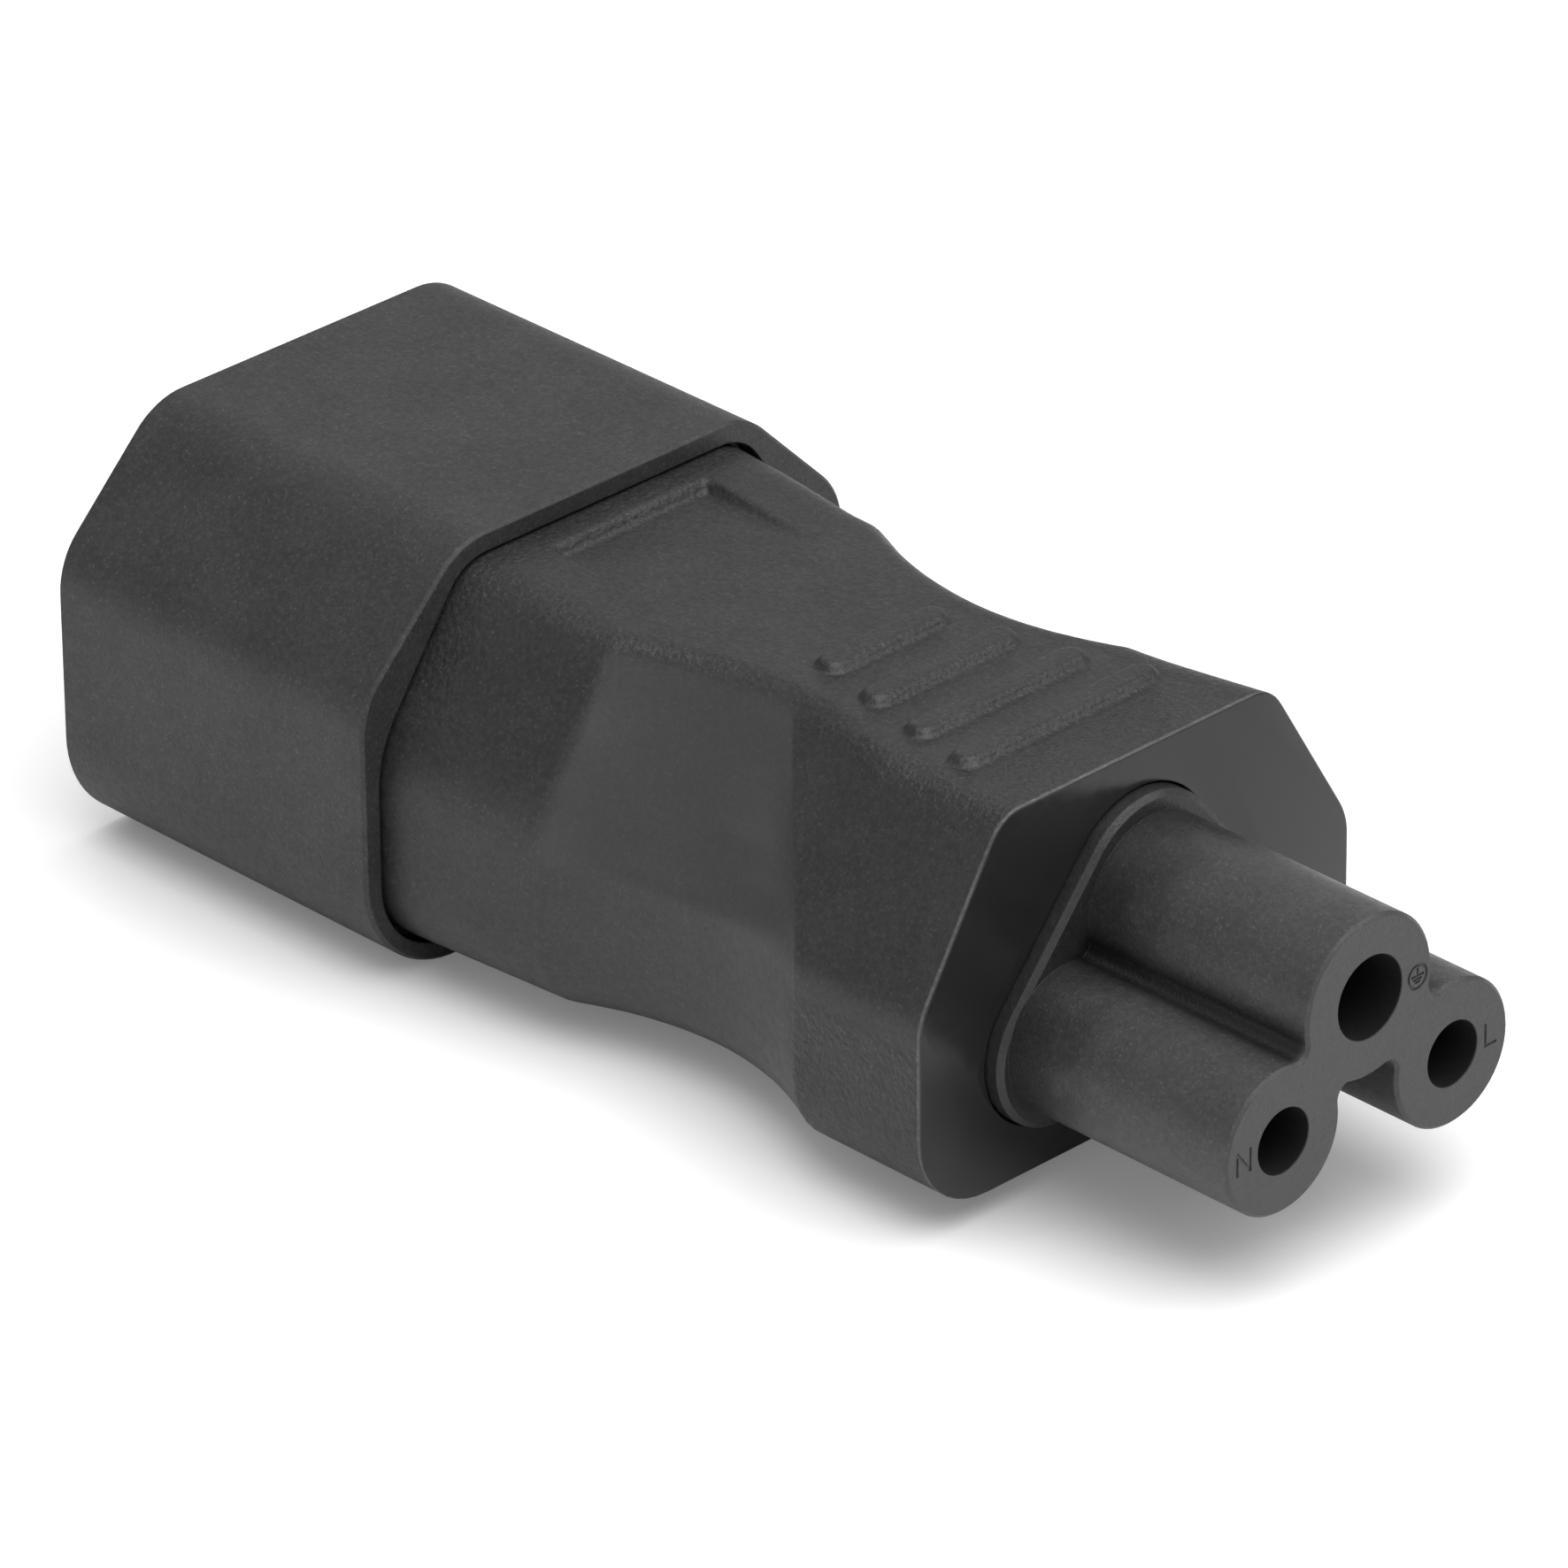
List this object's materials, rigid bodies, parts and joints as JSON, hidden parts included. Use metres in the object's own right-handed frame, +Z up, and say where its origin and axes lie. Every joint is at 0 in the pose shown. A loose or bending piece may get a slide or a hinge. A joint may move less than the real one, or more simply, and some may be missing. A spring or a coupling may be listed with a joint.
{
  "type": "mains inlet adapter",
  "caption": "Short waisted power adapter: a rectangular mains inlet with blades in a recess at one end, a cloverleaf outlet at the other, and a moulded grip between them.",
  "frame": {"origin": "on the resting surface, below the middle of the adapter", "axes": "+X along the body from the inlet's mouth to the outlet's tip, +Z up towards the earth pole's side, +Y towards the line pole"},
  "size_m": [0.064, 0.0284, 0.0195],
  "materials": {
    "inlet_plastic": "fine matte, black",
    "carrier_plastic": "plain matte, black",
    "grip_plastic": "soft matte overmould, finely grained in places, black",
    "outlet_plastic": "smooth satin, black",
    "blade_metal": "nickel plated, smooth",
    "contact_metal": "bare, rolled strip",
    "copper_strand": "stranded copper",
    "line_sheath": "brown",
    "neutral_sheath": "blue",
    "earth_sheath": "green"
  },
  "bodies": {
    "root": {"inlet_shroud": "inlet_plastic", "pin_carrier": "carrier_plastic", "grip_body": "grip_plastic", "outlet_insert": "outlet_plastic", "contact_retainer": "carrier_plastic", "line_blade": "blade_metal", "line_contact": "contact_metal", "line_conductor": "copper_strand", "line_insulation": "line_sheath", "neutral_blade": "blade_metal", "neutral_contact": "contact_metal", "neutral_conductor": "copper_strand", "neutral_insulation": "neutral_sheath", "earth_blade": "blade_metal", "earth_contact": "contact_metal", "earth_conductor": "copper_strand", "earth_insulation": "earth_sheath"}
  },
  "joints": []
}
